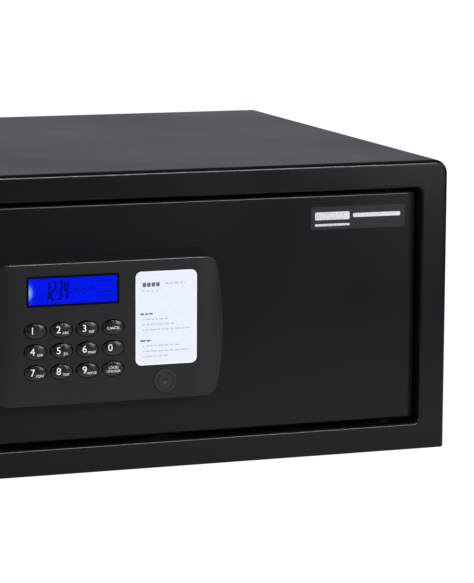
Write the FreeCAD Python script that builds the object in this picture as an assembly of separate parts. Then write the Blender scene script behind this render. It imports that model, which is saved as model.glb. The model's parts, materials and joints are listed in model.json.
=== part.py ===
"""In-room hotel safe: steel body, recessed side-hinged door, keypad and two motor-driven bolts.

Origin: centre of the base's underside. +Y runs from the door to the back, +Z up. Millimetres.
Drawn with the door closed and the bolts drawn back, ready to swing open.
"""
import FreeCAD, Part
import math
import os

# Body
BODY_W = 432.0
BODY_D = 370.0
BODY_H = 200.0
SHEET = 2.0
TOP_R = 9.5
FRONT_Y = -BODY_D / 2
BACK_Y = BODY_D / 2
HALF_W = BODY_W / 2

# Front frame: a 4 mm plate with a return lip around the door opening
FRAME_T = 4.0
OPEN_X = 196.7
OPEN_Z0 = 18.5
OPEN_Z1 = 181.5
OPEN_R = 3.5
LIP_T = 2.0
LIP_BACK = -163.0
FRAME_EDGE_R = 3.0
FRAME_SILL_R = 1.2
FRAME_LIP_R = 1.8

# Door plate, set back 7 mm behind the frame
DOOR_X = 193.7
DOOR_HINGE_X = 195.1
DOOR_Z0 = 20.8
DOOR_Z1 = 178.5
DOOR_FRONT = -178.0
DOOR_BACK = -174.0
DOOR_CORNER_R = 2.5
DOOR_EDGE_R = 1.6
DOOR_ROLL_R = 20.0
DOOR_ROLL_DEPTH = 0.95

# Hinge: vertical axis behind the door plate, near its right edge
HINGE_X = 176.0
HINGE_Y = -170.0
HINGE_PIN_R = 3.0
BUSH_BORE_R = 3.05
BUSH_R = 4.0
BUSH_FLANGE_R = 5.0
EAR_T = 4.0
LEAF_T = 3.0
LEAF_LEN = 34.0

# Door stops on the latch side
STOP_X0 = -OPEN_X
STOP_X1 = -188.0
STOP_FRONT = -171.5
STOP_LEN = 16.0
STOP_Z = (34.0, 150.0)

# Fixing holes
FIX_R = 5.0
FIX_X = 130.0
FIX_Y = 100.0
FIX_BACK_Z = 100.0
MAT_X = 208.0
MAT_Y0 = -160.0
MAT_Y1 = 178.0
MAT_T = 3.0
MAT_HOLE_R = 12.0

# Keypad housing: straight top and bottom, bulged ends, walls that flare towards the door
PAD_X = -30.0
PAD_FRONT = -197.0
PAD_HALF_W = 80.2
PAD_Z0 = 49.5
PAD_Z1 = 143.5
PAD_END_R = 203.0
PAD_CORNER_R = 10.0
PAD_FLARE_X = 3.5
PAD_FLARE_TOP = 3.4
PAD_FLARE_BOTTOM = 2.0
PAD_WALL = 2.2
PAD_EDGE_R = 1.3
PAD_FLAT_X = 62.0
PAD_CROWN_R = 60.0
BOSS_R = 4.0
BOSS_X = (-97.0, 38.0)
BOSS_Z = (58.5, 134.5)

# Display
LCD_X0 = -83.8
LCD_X1 = -23.5
LCD_Z0 = 116.15
LCD_Z1 = 133.9
LCD_FRONT = -196.7
LCD_T = 1.9

# Keys
KEY_NAMES = (
    ("key_1", "key_2", "key_3", "key_cancel"),
    ("key_4", "key_5", "key_6", "key_0"),
    ("key_7", "key_8", "key_9", "key_lock"),
)
KEY_X0 = -79.35
KEY_PITCH_X = 17.55
KEY_Z0 = 99.27
KEY_PITCH_Z = 13.8
KEY_A = 7.2
KEY_B = 4.8
KEY_HOLE_A = 7.9
KEY_HOLE_B = 5.45
KEY_FLANGE_A = 8.5
KEY_FLANGE_B = 6.1
KEY_TOP = -198.6
KEY_DOME_R = 25.0
KEY_FLANGE_FRONT = -194.5
KEY_FLANGE_T = 1.2
MAT_FRONT = -192.2
BOARD_FRONT = -190.5
BOARD_T = 1.5

# Label and badge
LABEL = (-11.2, 31.1, 72.6, 135.0)
LABEL_R = 4.0
LABEL_T = 0.3
BADGE = (118.5, 187.0, 154.5, 170.0)
BADGE_R = 1.5
BADGE_T = 0.4

# Override lock
LOCK_X = 9.4
LOCK_Z = 61.6
CAP_R = 8.2
CAP_HOLE_R = 8.35
CYL_R = 8.5
CYL_HOLE_R = 8.55
CYL_FRONT = -190.0
CYL_BACK = -167.5
PLUG_R = 5.0
PLUG_BORE_R = 5.05
PLUG_BACK = -165.5
TAIL_SIDE = 5.0
CAM_FRONT = -161.0
CAM_BACK = -158.6
CAM_HUB_R = 8.0
CAM_NOSE_R = 4.0
CAM_REACH = 20.0

# Lock chassis behind the door
CHASSIS = (-178.0, 28.0, 44.0, 156.0)
CHASSIS_T = 2.0
CHASSIS_WALL_BACK = -144.0
CHASSIS_BACK = DOOR_BACK + CHASSIS_T

# Bolts and their carriage
BOLT_R = 7.0
BOLT_HOLE_R = 7.05
BOLT_Y = -155.0
BOLT_Z = (65.0, 135.0)
BOLT_TIP = -187.0
BOLT_TRAVEL = 18.0
BOLT_SCREW_R = 2.5
WEB_FRONT = -164.0
WEB_BACK = -162.0
FLANGE_X = -150.0
WEB_X1 = -50.0
WEB_Z = (48.0, 152.0)
ARM_Z = (72.0, 92.0)
TAB_X = 31.8
TAB_BACK = -157.0
STUD_X = (-132.0, -80.0)
STUD_Z = (58.0, 142.0)
STUD_R = 2.5
STUD_SHOULDER_R = 4.5
SLOT_HALF = 2.75

# Rack and pinion, module 1
MODULE = 1.0
TEETH = 14
PRESSURE = math.radians(20)
ADDENDUM = 0.8
DEDENDUM = 1.05
BACKLASH = 0.2
PINION_X = -92.0
PINION_Z = 92.0
PINION_FRONT = -161.5
PINION_BACK = -158.2
RACK_X = (-103.0, -62.0)
RACK_H = 6.0
RACK_T = 4.0
SHAFT_R = 1.5

# Motor
MOTOR_W = 12.0
MOTOR_H = 10.0
BRACKET_FRONT = -157.5
BRACKET_BACK = -156.0
BRACKET_X = (-101.0, -85.0)
BRACKET_Z = (70.0, 99.0)
GEARBOX_BACK = -147.0
MOTOR_BACK = -137.5

# Mechanism cover, batteries and control board
COVER = (-182.0, 112.0, 30.0, 170.0)
COVER_BACK = -134.0
COVER_WALL = 2.0
COVER_R = 4.0
POST_X = (-172.0, 103.0)
POST_Z = (38.0, 162.0)
POST_R = 3.0
HOLDER = (43.0, 105.0, 58.0, 114.0)
HOLDER_FRONT = -156.0
HOLDER_BACK = -136.6
CELL_R = 7.2
CELL_LEN = 50.0
CELL_PITCH = 15.0
LID = (41.5, 106.5, 55.0, 117.0)
LID_FRONT = -133.8
LID_T = 1.6
BOARD2 = (46.0, 100.0, 121.0, 158.0)
BOARD2_FRONT = -168.0
CABLE_Z = (126.0, 134.0)
CABLE_T = 0.6

V = FreeCAD.Vector


def block(x0, x1, y0, y1, z0, z1):
    return Part.makeBox(x1 - x0, y1 - y0, z1 - z0, V(x0, y0, z0))


def rod_x(r, x0, x1, y, z):
    return Part.makeCylinder(r, x1 - x0, V(x0, y, z), V(1, 0, 0))


def rod_y(r, y0, y1, x, z):
    return Part.makeCylinder(r, y1 - y0, V(x, y0, z), V(0, 1, 0))


def rod_z(r, z0, z1, x, y):
    return Part.makeCylinder(r, z1 - z0, V(x, y, z0), V(0, 0, 1))


def edges_at(shape, test):
    """Edges whose every vertex meets the test."""
    return [e for e in shape.Edges if e.Vertexes and all(test(v.Point) for v in e.Vertexes)]


def rounded_block(x0, x1, y0, y1, z0, z1, r):
    """A block whose four edges along Y are rounded."""
    body = block(x0, x1, y0, y1, z0, z1)
    along = [e for e in body.Edges if abs(e.Vertexes[0].Y - e.Vertexes[1].Y) > 1e-6]
    return body.makeFillet(r, along)


def arch(half_w, y0, y1, z0, z1, r):
    """A block along Y whose two top edges are rounded."""
    body = block(-half_w, half_w, y0, y1, z0, z1)
    top = [
        e
        for e in body.Edges
        if abs(e.Vertexes[0].Y - e.Vertexes[1].Y) > 1e-6 and e.Vertexes[0].Z > z1 - 1e-6
    ]
    return body.makeFillet(r, top)


def prism_y(points, y0, y1):
    """Extrude a closed outline of (x, z) points from y0 to y1."""
    corners = [V(x, y0, z) for x, z in points]
    return Part.Face(Part.makePolygon(corners + corners[:1])).extrude(V(0, y1 - y0, 0))


def ellipse_y(a, b, y0, y1, x, z):
    """An elliptical bar along Y, a half-width in X and b in Z."""
    flat = Part.Face(Part.Wire(Part.Ellipse(V(0, 0, 0), a, b).toShape()))
    bar = flat.extrude(V(0, 0, y1 - y0))
    bar.rotate(V(0, 0, 0), V(1, 0, 0), 90)
    bar.translate(V(x, y1, z))
    return bar


def hex_y(across, y0, y1, x, z):
    r = across / math.sqrt(3)
    ring = [math.radians(60 * i) for i in range(6)]
    return prism_y([(x + r * math.cos(t), z + r * math.sin(t)) for t in ring], y0, y1)


def pan_screw_y(x, z, head_front, head_r, head_t, shank_r, shank_tip):
    """A screw along Y: its head runs back from head_front, its shank forward to shank_tip."""
    head = rod_y(head_r, head_front, head_front + head_t, x, z)
    head = head.makeFillet(head_t * 0.4, [e for e in head.Edges if e.Vertexes[0].Y > head_front + 1e-6
                                          and e.Vertexes[-1].Y > head_front + 1e-6
                                          and e.Length > head_r * 5])
    recess = rod_y(head_r * 0.38, head_front + head_t * 0.45, head_front + head_t + 1, x, z)
    return head.cut(recess).fuse(rod_y(shank_r, shank_tip, head_front, x, z))


def save(node, shape):
    shape.exportStep("parts/" + node + ".step")


# ---------------------------------------------------------------- body
def body_wrapper():
    outer = arch(HALF_W, FRONT_Y + FRAME_T, BACK_Y - SHEET, SHEET, BODY_H, TOP_R)
    inner = arch(HALF_W - SHEET, FRONT_Y, BACK_Y, -SHEET, BODY_H - SHEET, TOP_R - SHEET)
    return outer.cut(inner)


def base_plate():
    plate = block(-HALF_W, HALF_W, FRONT_Y + FRAME_T, BACK_Y - SHEET, 0, SHEET)
    for x in (-FIX_X, FIX_X):
        for y in (-FIX_Y, FIX_Y):
            plate = plate.cut(rod_z(FIX_R, -1, SHEET + 1, x, y))
    return plate


def rear_panel():
    panel = arch(HALF_W, BACK_Y - SHEET, BACK_Y, 0, BODY_H, TOP_R)
    for x in (-FIX_X, FIX_X):
        panel = panel.cut(rod_y(FIX_R, BACK_Y - SHEET - 1, BACK_Y + 1, x, FIX_BACK_Z))
    return panel


def front_frame():
    plate = arch(HALF_W, FRONT_Y, FRONT_Y + FRAME_T, 0, BODY_H, TOP_R)
    rim = [
        e
        for e in edges_at(plate, lambda p: p.y < FRONT_Y + 1e-6)
        if e.CenterOfMass.z > 1e-3
    ]
    plate = plate.makeFillet(FRAME_EDGE_R, rim)
    sill = [
        e
        for e in edges_at(plate, lambda p: p.y < FRONT_Y + 1e-6 and p.z < 1e-6)
        if e.Length > BODY_W / 2
    ]
    plate = plate.makeFillet(FRAME_SILL_R, sill)
    sleeve = rounded_block(
        -OPEN_X - LIP_T, OPEN_X + LIP_T, FRONT_Y + FRAME_T, LIP_BACK,
        OPEN_Z0 - LIP_T, OPEN_Z1 + LIP_T, OPEN_R + LIP_T,
    )
    opening = rounded_block(
        -OPEN_X, OPEN_X, FRONT_Y - 1, LIP_BACK + 1, OPEN_Z0, OPEN_Z1, OPEN_R
    )
    frame = plate.fuse(sleeve).cut(opening)
    mouth = edges_at(
        frame,
        lambda p: p.y < FRONT_Y + 1e-6 and abs(p.x) < OPEN_X + 1 and OPEN_Z0 - 1 < p.z < OPEN_Z1 + 1,
    )
    frame = frame.makeFillet(FRAME_LIP_R, mouth)
    return frame.cut(rod_z(BUSH_R, 0, BODY_H, HINGE_X, HINGE_Y))


def hinge_bush(face_z, ear_z, lip_z):
    """A flanged bush: its flange fills the gap under the ear, its sleeve the hole in the lip."""
    flange = rod_z(BUSH_FLANGE_R, min(face_z, ear_z), max(face_z, ear_z), HINGE_X, HINGE_Y)
    sleeve = rod_z(BUSH_R, min(face_z, lip_z), max(face_z, lip_z), HINGE_X, HINGE_Y)
    bore = rod_z(BUSH_BORE_R, 0, BODY_H, HINGE_X, HINGE_Y)
    return flange.fuse(sleeve).cut(bore)


def hinge_bushes():
    lower = hinge_bush(OPEN_Z0, DOOR_Z0 - 0.3, OPEN_Z0 - LIP_T - 0.8)
    upper = hinge_bush(OPEN_Z1, DOOR_Z1 + 1.7, OPEN_Z1 + LIP_T + 0.8)
    return Part.makeCompound([lower, upper])


def door_stops():
    stops = []
    for z in STOP_Z:
        face = block(STOP_X0, STOP_X1, STOP_FRONT, STOP_FRONT + 2, z, z + STOP_LEN)
        leg = block(STOP_X0, STOP_X0 + 2, STOP_FRONT, LIP_BACK, z, z + STOP_LEN)
        stops.append(face.fuse(leg))
    return Part.makeCompound(stops)


def stop_pads():
    pads = []
    for z in STOP_Z:
        pad = block(STOP_X0 + 1.2, STOP_X1 - 1, DOOR_BACK + 0.4, STOP_FRONT, z + 2, z + STOP_LEN - 2)
        pads.append(pad.makeFillet(0.6, edges_at(pad, lambda p: p.y < DOOR_BACK + 0.5)))
    return Part.makeCompound(pads)


def floor_mat():
    mat = block(-MAT_X, MAT_X, MAT_Y0, MAT_Y1, SHEET, SHEET + MAT_T)
    corners = [e for e in mat.Edges if abs(e.Vertexes[0].Z - e.Vertexes[1].Z) > 1e-6]
    mat = mat.makeFillet(8, corners)
    for x in (-FIX_X, FIX_X):
        for y in (-FIX_Y, FIX_Y):
            mat = mat.cut(rod_z(MAT_HOLE_R, 0, SHEET + MAT_T + 1, x, y))
    return mat


# ---------------------------------------------------------------- door
def rolled_edge():
    """What the hinge side keeps: its front rolls back, so it clears the frame as the door swings."""
    reach = math.sqrt(DOOR_ROLL_R ** 2 - (DOOR_ROLL_R - DOOR_ROLL_DEPTH) ** 2)
    x = DOOR_HINGE_X - reach
    flat = block(-DOOR_X - 1, x, DOOR_FRONT - 1, DOOR_BACK + 1, DOOR_Z0 - 1, DOOR_Z1 + 1)
    return flat.fuse(rod_z(DOOR_ROLL_R, DOOR_Z0 - 1, DOOR_Z1 + 1, x, DOOR_FRONT + DOOR_ROLL_R))


def door_plate():
    plate = rounded_block(
        -DOOR_X, DOOR_HINGE_X, DOOR_FRONT, DOOR_BACK, DOOR_Z0, DOOR_Z1, DOOR_CORNER_R
    )
    plate = plate.makeFillet(DOOR_EDGE_R, edges_at(plate, lambda p: p.y < DOOR_FRONT + 1e-6))
    plate = plate.common(rolled_edge())
    plate = plate.cut(rod_y(CYL_HOLE_R, DOOR_FRONT - 1, DOOR_BACK + 1, LOCK_X, LOCK_Z))
    plate = plate.cut(block(29.5, 38.5, DOOR_FRONT - 1, DOOR_BACK + 1, CABLE_Z[0] - 3, CABLE_Z[0] + 3))
    plate = plate.cut(block(29.5, 33.5, DOOR_FRONT - 1, DOOR_BACK + 1, CABLE_Z[0] - 3, CABLE_Z[1] + 2))
    for x in BOSS_X:
        for z in BOSS_Z:
            plate = plate.cut(rod_y(1.7, DOOR_FRONT - 1, DOOR_BACK + 1, x, z))
    return plate


def hinge_bracket(ear_z, leaf_z):
    ear = block(HINGE_X - 10, HINGE_X + 10, DOOR_BACK, -163.5, ear_z, ear_z + EAR_T)
    ear = ear.makeFillet(
        4, [e for e in edges_at(ear, lambda p: p.y > -164) if e.Length < EAR_T + 1e-6]
    )
    leaf = block(HINGE_X - 14, HINGE_X + 13, DOOR_BACK, DOOR_BACK + LEAF_T, leaf_z, leaf_z + LEAF_LEN)
    hole = rod_z(HINGE_PIN_R, ear_z, ear_z + EAR_T, HINGE_X, HINGE_Y)
    room = rod_z(HINGE_PIN_R + 0.5, leaf_z - 1, leaf_z + LEAF_LEN + 1, HINGE_X, HINGE_Y)
    return leaf.cut(room).fuse(ear).cut(hole)


def hinge_pins():
    lower = rod_z(HINGE_PIN_R, OPEN_Z0 - LIP_T - 1.5, DOOR_Z0 + EAR_T, HINGE_X, HINGE_Y)
    upper = rod_z(HINGE_PIN_R, DOOR_Z1 - EAR_T, OPEN_Z1 + LIP_T + 1.5, HINGE_X, HINGE_Y)
    return Part.makeCompound([lower, upper])


def thin_plate(extent, r, y_front, thickness):
    x0, x1, z0, z1 = extent
    return rounded_block(x0, x1, y_front, y_front + thickness, z0, z1, r)


# ---------------------------------------------------------------- keypad
def pad_wire(half_w, z0, z1, end_r, corner_r, y):
    """Outline of the keypad at depth y: flat top and bottom, bulged ends, rounded corners."""
    half_h = (z1 - z0) / 2
    mid = (z0 + z1) / 2
    sag = end_r - math.sqrt(end_r ** 2 - half_h ** 2)
    x_end = half_w - sag
    left = PAD_X - x_end
    right = PAD_X + x_end
    edges = [
        Part.makeLine(V(left, y, z0), V(right, y, z0)),
        Part.Arc(V(right, y, z0), V(PAD_X + half_w, y, mid), V(right, y, z1)).toShape(),
        Part.makeLine(V(right, y, z1), V(left, y, z1)),
        Part.Arc(V(left, y, z1), V(PAD_X - half_w, y, mid), V(left, y, z0)).toShape(),
    ]
    slab = Part.Face(Part.Wire(edges)).extrude(V(0, 1, 0))
    along = [e for e in slab.Edges if abs(e.Vertexes[0].Y - e.Vertexes[1].Y) > 1e-6]
    slab = slab.makeFillet(corner_r, along)
    face = min(slab.Faces, key=lambda f: f.CenterOfMass.y)
    return face.OuterWire


def pad_solid(inset, y_front):
    front = pad_wire(
        PAD_HALF_W - inset, PAD_Z0 + inset, PAD_Z1 - inset, PAD_END_R, PAD_CORNER_R - inset, y_front
    )
    rear = pad_wire(
        PAD_HALF_W + PAD_FLARE_X - inset,
        PAD_Z0 - PAD_FLARE_BOTTOM + inset,
        PAD_Z1 + PAD_FLARE_TOP - inset,
        PAD_END_R,
        PAD_CORNER_R + 2 - inset,
        DOOR_FRONT,
    )
    return Part.makeLoft([front, rear], True, True)


def pad_crown(y_front):
    """A block whose front is flat in the middle and curves back towards both ends."""
    reach = PAD_HALF_W + 2 * PAD_FLARE_X
    run = reach - PAD_FLAT_X
    fall = PAD_CROWN_R - math.sqrt(PAD_CROWN_R ** 2 - run ** 2)
    half = run / 2
    half_fall = PAD_CROWN_R - math.sqrt(PAD_CROWN_R ** 2 - half ** 2)
    z = PAD_Z0 - 20
    edges = [Part.makeLine(V(PAD_X - PAD_FLAT_X, y_front, z), V(PAD_X + PAD_FLAT_X, y_front, z))]
    for side in (1, -1):
        edges.append(
            Part.Arc(
                V(PAD_X + side * PAD_FLAT_X, y_front, z),
                V(PAD_X + side * (PAD_FLAT_X + half), y_front + half_fall, z),
                V(PAD_X + side * reach, y_front + fall, z),
            ).toShape()
        )
        edges.append(
            Part.makeLine(V(PAD_X + side * reach, y_front + fall, z), V(PAD_X + side * reach, DOOR_BACK, z))
        )
    edges.append(Part.makeLine(V(PAD_X - reach, DOOR_BACK, z), V(PAD_X + reach, DOOR_BACK, z)))
    outline = Part.Wire(Part.__sortEdges__(edges))
    return Part.Face(outline).extrude(V(0, 0, PAD_Z1 - PAD_Z0 + 40))


def key_centres():
    for row, names in enumerate(KEY_NAMES):
        for column, name in enumerate(names):
            yield name, KEY_X0 + column * KEY_PITCH_X, KEY_Z0 - row * KEY_PITCH_Z


def keypad_housing():
    outer = pad_solid(0, PAD_FRONT).common(pad_crown(PAD_FRONT))
    front = [f for f in outer.Faces if abs(f.normalAt(0, 0).y) > 0.9 and f.CenterOfMass.y < PAD_FRONT + 8]
    seams = [e.hashCode() for f in front for e in f.Edges]
    rim = [e for f in front for e in f.Edges if seams.count(e.hashCode()) == 1]
    outer = outer.makeFillet(PAD_EDGE_R, rim)
    inner = pad_solid(PAD_WALL, PAD_FRONT + PAD_WALL).common(pad_crown(PAD_FRONT + PAD_WALL))
    shell = outer.cut(inner)
    for x in BOSS_X:
        for z in BOSS_Z:
            shell = shell.fuse(rod_y(BOSS_R, PAD_FRONT + 1.5, DOOR_FRONT, x, z))
            shell = shell.cut(rod_y(1.5, PAD_FRONT + 6, DOOR_FRONT + 1, x, z))
    shell = shell.cut(block(LCD_X0, LCD_X1, PAD_FRONT - 1, PAD_FRONT + 4, LCD_Z0, LCD_Z1))
    for _, x, z in key_centres():
        shell = shell.cut(ellipse_y(KEY_HOLE_A, KEY_HOLE_B, PAD_FRONT - 1, PAD_FRONT + 4, x, z))
    return shell.cut(rod_y(CAP_HOLE_R, PAD_FRONT - 1, PAD_FRONT + 4, LOCK_X, LOCK_Z))


def key(x, z):
    bar = ellipse_y(KEY_A, KEY_B, KEY_TOP - 0.5, KEY_FLANGE_FRONT, x, z)
    bar = bar.common(Part.makeSphere(KEY_DOME_R, V(x, KEY_TOP + KEY_DOME_R, z)))
    rim = [e for e in bar.Edges if e.BoundBox.YMax < KEY_FLANGE_FRONT - 0.5 and e.Length > 10]
    bar = bar.makeFillet(0.4, rim)
    flange = ellipse_y(
        KEY_FLANGE_A, KEY_FLANGE_B, KEY_FLANGE_FRONT, KEY_FLANGE_FRONT + KEY_FLANGE_T, x, z
    )
    return bar.fuse(flange)


def key_mat():
    return rounded_block(-90, -16, MAT_FRONT, BOARD_FRONT, 63, 108, 3)


def keypad_board():
    board = block(-92.5, -12, BOARD_FRONT, BOARD_FRONT + BOARD_T, 57, 139)
    chip = block(-70, -56, BOARD_FRONT + BOARD_T, BOARD_FRONT + BOARD_T + 2, 84, 98)
    socket = block(-24, -14, BOARD_FRONT + BOARD_T, BOARD_FRONT + BOARD_T + 2, 124, 136)
    return board.fuse(chip).fuse(socket)


def lcd_window():
    return block(LCD_X0, LCD_X1, LCD_FRONT, LCD_FRONT + LCD_T, LCD_Z0, LCD_Z1)


def lcd_module():
    return block(LCD_X0 - 4, LCD_X1 + 4, LCD_FRONT + LCD_T, BOARD_FRONT, 111, 138)


def housing_screws():
    screws = []
    for x in BOSS_X:
        for z in BOSS_Z:
            screws.append(pan_screw_y(x, z, DOOR_BACK, 3.4, 2.2, 1.5, -186))
    return Part.makeCompound(screws)


# ---------------------------------------------------------------- override lock
def override_cap():
    cap = rod_y(CAP_R, PAD_FRONT - 0.4, PAD_FRONT + 4.5, LOCK_X, LOCK_Z)
    rim = [e for e in cap.Edges if e.Length > 20 and e.Vertexes[0].Y < PAD_FRONT]
    cap = cap.makeFillet(0.35, rim)
    groove = rod_y(5.8, PAD_FRONT - 1, PAD_FRONT + 0.1, LOCK_X, LOCK_Z)
    groove = groove.cut(rod_y(5.1, PAD_FRONT - 1, PAD_FRONT + 0.1, LOCK_X, LOCK_Z))
    dimple = Part.makeSphere(6, V(LOCK_X, PAD_FRONT - 6, LOCK_Z))
    hollow = rod_y(CAP_R - 1.2, PAD_FRONT + 1.5, PAD_FRONT + 5, LOCK_X, LOCK_Z)
    return cap.cut(groove).cut(dimple).cut(hollow)


def override_cylinder():
    tube = rod_y(CYL_R, CYL_FRONT, CYL_BACK, LOCK_X, LOCK_Z)
    return tube.cut(rod_y(PLUG_BORE_R, CYL_FRONT - 1, CYL_BACK + 1, LOCK_X, LOCK_Z))


def cylinder_nut():
    nut = hex_y(22, CHASSIS_BACK, CHASSIS_BACK + 3.5, LOCK_X, LOCK_Z)
    return nut.cut(rod_y(CYL_HOLE_R, CHASSIS_BACK - 1, CHASSIS_BACK + 5, LOCK_X, LOCK_Z))


def tail(y0, y1):
    h = TAIL_SIDE / 2
    return block(LOCK_X - h, LOCK_X + h, y0, y1, LOCK_Z - h, LOCK_Z + h)


def override_plug():
    plug = rod_y(PLUG_R, CYL_FRONT, PLUG_BACK, LOCK_X, LOCK_Z).fuse(tail(PLUG_BACK, CAM_BACK))
    keyway = block(LOCK_X - 0.8, LOCK_X + 0.8, CYL_FRONT - 1, CYL_FRONT + 16, LOCK_Z - 3.5, LOCK_Z + 3.5)
    return plug.cut(keyway).cut(rod_y(1.5, PLUG_BACK, CAM_BACK + 1, LOCK_X, LOCK_Z))


def override_cam():
    hub = rod_y(CAM_HUB_R, CAM_FRONT, CAM_BACK, LOCK_X, LOCK_Z)
    nose = rod_y(CAM_NOSE_R, CAM_FRONT, CAM_BACK, LOCK_X, LOCK_Z + CAM_REACH)
    arm = block(
        LOCK_X - CAM_NOSE_R, LOCK_X + CAM_NOSE_R, CAM_FRONT, CAM_BACK, LOCK_Z, LOCK_Z + CAM_REACH
    )
    return hub.fuse(nose).fuse(arm).cut(tail(CAM_FRONT - 1, CAM_BACK + 1))


def cam_screw():
    return pan_screw_y(LOCK_X, LOCK_Z, CAM_BACK, 4.2, 2.2, 1.5, CAM_BACK - 6)


# ---------------------------------------------------------------- bolt work
def lock_chassis():
    x0, x1, z0, z1 = CHASSIS
    plate = block(x0, x1, DOOR_BACK, CHASSIS_BACK, z0, z1)
    wall = block(x0, x0 + CHASSIS_T, DOOR_BACK, CHASSIS_WALL_BACK, z0 + 4, z1 - 4)
    chassis = plate.fuse(wall)
    for z in BOLT_Z:
        chassis = chassis.cut(rod_x(BOLT_HOLE_R, x0 - 1, x0 + 5, BOLT_Y, z))
    for z in BOSS_Z:
        chassis = chassis.cut(rod_y(6, DOOR_BACK - 1, CHASSIS_BACK + 1, BOSS_X[0], z))
    return chassis.cut(rod_y(CYL_HOLE_R, DOOR_BACK - 1, CHASSIS_BACK + 1, LOCK_X, LOCK_Z))


def guide_studs():
    studs = []
    for x in STUD_X:
        for z in STUD_Z:
            shoulder = rod_y(STUD_SHOULDER_R, CHASSIS_BACK, WEB_FRONT - 0.3, x, z)
            shank = rod_y(STUD_R, WEB_FRONT - 0.3, WEB_BACK + 0.3, x, z)
            head = rod_y(STUD_SHOULDER_R, WEB_BACK + 0.3, WEB_BACK + 2, x, z)
            studs.append(shoulder.fuse(shank).fuse(head))
    return Part.makeCompound(studs)


def slot_y(x0, x1, z):
    ends = rod_y(SLOT_HALF, WEB_FRONT - 1, WEB_BACK + 1, x0, z)
    ends = ends.fuse(rod_y(SLOT_HALF, WEB_FRONT - 1, WEB_BACK + 1, x1, z))
    return ends.fuse(block(x0, x1, WEB_FRONT - 1, WEB_BACK + 1, z - SLOT_HALF, z + SLOT_HALF))


def bolt_carriage():
    web = block(FLANGE_X, WEB_X1, WEB_FRONT, WEB_BACK, WEB_Z[0], WEB_Z[1])
    arm = block(WEB_X1, TAB_X + 2, WEB_FRONT, WEB_BACK, ARM_Z[0], ARM_Z[1])
    tab = block(TAB_X, TAB_X + 2, WEB_FRONT, TAB_BACK, ARM_Z[0], ARM_Z[1])
    flange = block(FLANGE_X, FLANGE_X + 2, WEB_FRONT, -146, WEB_Z[0], WEB_Z[1])
    carriage = web.fuse(arm).fuse(tab).fuse(flange)
    carriage = carriage.cut(block(-103, -63, WEB_FRONT - 1, WEB_BACK + 1, 64, 86))
    carriage = carriage.cut(block(-130, -66, WEB_FRONT - 1, WEB_BACK + 1, 112, 132))
    for x in STUD_X:
        for z in STUD_Z:
            carriage = carriage.cut(slot_y(x - 0.3, x + BOLT_TRAVEL + 0.3, z))
    for z in BOLT_Z:
        carriage = carriage.cut(rod_x(BOLT_SCREW_R + 0.05, FLANGE_X - 1, FLANGE_X + 3, BOLT_Y, z))
    return carriage


def locking_bolts():
    bolts = []
    for z in BOLT_Z:
        bolt = rod_x(BOLT_R, BOLT_TIP, FLANGE_X, BOLT_Y, z)
        nose = [e for e in bolt.Edges if e.Length > 20 and e.Vertexes[0].X < BOLT_TIP + 1e-6]
        bolt = bolt.makeChamfer(1.5, nose)
        bolts.append(bolt.cut(rod_x(BOLT_SCREW_R + 0.05, FLANGE_X - 14, FLANGE_X + 1, BOLT_Y, z)))
    return Part.makeCompound(bolts)


def bolt_screws():
    screws = []
    for z in BOLT_Z:
        shank = rod_x(BOLT_SCREW_R, FLANGE_X - 12, FLANGE_X + 2, BOLT_Y, z)
        head = rod_x(4.4, FLANGE_X + 2, FLANGE_X + 6, BOLT_Y, z)
        socket = rod_x(2.2, FLANGE_X + 4, FLANGE_X + 7, BOLT_Y, z)
        screws.append(shank.fuse(head).cut(socket))
    return Part.makeCompound(screws)


def involute(angle):
    return math.tan(angle) - angle


def pinion_outline():
    """Involute teeth, the first one pointing straight up at the rack."""
    pitch_r = MODULE * TEETH / 2
    base_r = pitch_r * math.cos(PRESSURE)
    tip_r = pitch_r + ADDENDUM * MODULE
    root_r = pitch_r - DEDENDUM * MODULE
    half = math.pi / (2 * TEETH) - BACKLASH / (4 * pitch_r)
    steps = 6
    flank = []
    for i in range(steps + 1):
        r = base_r + (tip_r - base_r) * i / steps
        flank.append((r, half + involute(PRESSURE) - involute(math.acos(base_r / r))))
    flank.insert(0, (root_r, flank[0][1]))
    points = []
    for tooth in range(TEETH):
        mid = math.pi / 2 - tooth * 2 * math.pi / TEETH
        rise = [(r, mid + t) for r, t in flank]
        fall = [(r, mid - t) for r, t in reversed(flank)]
        points += [
            (PINION_X + r * math.cos(t), PINION_Z + r * math.sin(t)) for r, t in rise + fall
        ]
    return points


def drive_pinion():
    gear = prism_y(pinion_outline(), PINION_FRONT, PINION_BACK)
    return gear.cut(rod_y(SHAFT_R, PINION_FRONT - 1, PINION_BACK + 1, PINION_X, PINION_Z))


def motor_shaft():
    return rod_y(SHAFT_R, PINION_FRONT - 0.3, BRACKET_BACK + 6, PINION_X, PINION_Z)


def bolt_rack():
    """Straight-sided teeth that point down; a gap stands over the pinion's top tooth."""
    pitch = math.pi * MODULE
    pitch_z = PINION_Z + MODULE * TEETH / 2
    slope = math.tan(PRESSURE)
    half = pitch / 4 - BACKLASH / 4
    tip = half - ADDENDUM * MODULE * slope
    root = half + DEDENDUM * MODULE * slope
    tip_z = pitch_z - ADDENDUM * MODULE
    root_z = pitch_z + DEDENDUM * MODULE
    points = [(RACK_X[0], root_z)]
    first = math.ceil((RACK_X[0] + 1 - PINION_X) / pitch)
    last = math.floor((RACK_X[1] - 1 - PINION_X) / pitch)
    for i in range(first, last):
        x = PINION_X + (i + 0.5) * pitch
        points += [(x - root, root_z), (x - tip, tip_z), (x + tip, tip_z), (x + root, root_z)]
    points += [(RACK_X[1], root_z), (RACK_X[1], root_z + RACK_H), (RACK_X[0], root_z + RACK_H)]
    return prism_y(points, WEB_BACK, WEB_BACK + RACK_T)


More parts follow.
